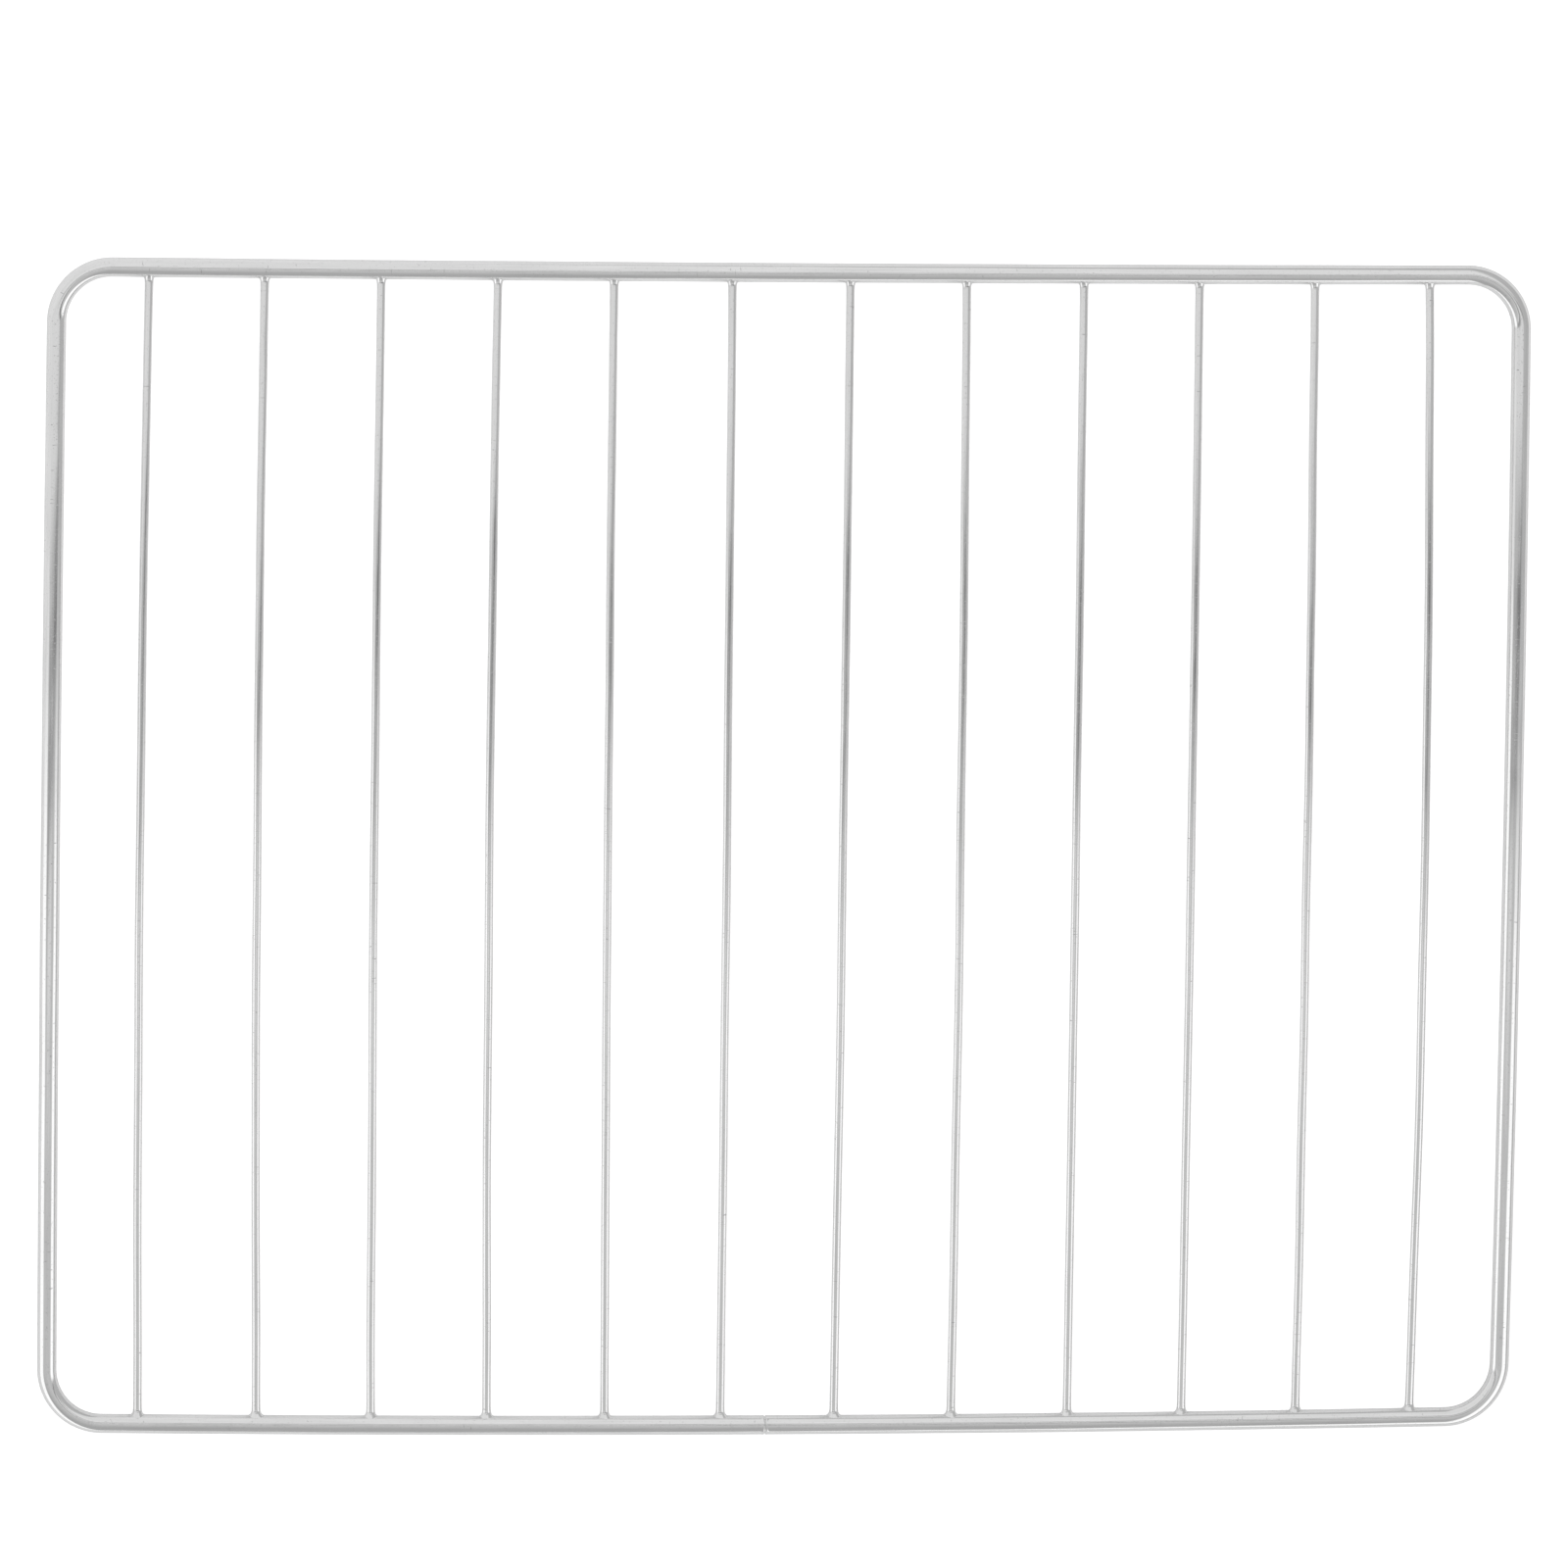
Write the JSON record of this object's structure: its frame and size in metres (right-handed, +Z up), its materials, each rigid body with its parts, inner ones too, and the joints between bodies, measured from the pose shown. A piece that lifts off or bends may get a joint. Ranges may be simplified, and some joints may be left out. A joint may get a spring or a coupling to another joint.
{
  "type": "air fryer wire rack",
  "caption": "Flat wire rack for an air fryer oven: a rectangular frame bent from thick round wire with rounded corners, and thin straight cross wires butt welded inside it.",
  "frame": {"origin": "middle of the rack's underside, on the surface it lies on", "axes": "+X along the long front and back sides, to the right; +Y along the cross wires, from the side with the frame's weld to the back; +Z up"},
  "size_m": [0.348, 0.275, 0.0045],
  "materials": {
    "frame_wire": "bright plated steel wire with fine drawing lines and small pits",
    "cross_wires": "bright plated steel wire, dulled at the welds"
  },
  "bodies": {
    "root": {"frame_wire": "frame_wire", "cross_wire_01": "cross_wires", "cross_wire_02": "cross_wires", "cross_wire_03": "cross_wires", "cross_wire_04": "cross_wires", "cross_wire_05": "cross_wires", "cross_wire_06": "cross_wires", "cross_wire_07": "cross_wires", "cross_wire_08": "cross_wires", "cross_wire_09": "cross_wires", "cross_wire_10": "cross_wires", "cross_wire_11": "cross_wires", "cross_wire_12": "cross_wires"}
  },
  "joints": []
}
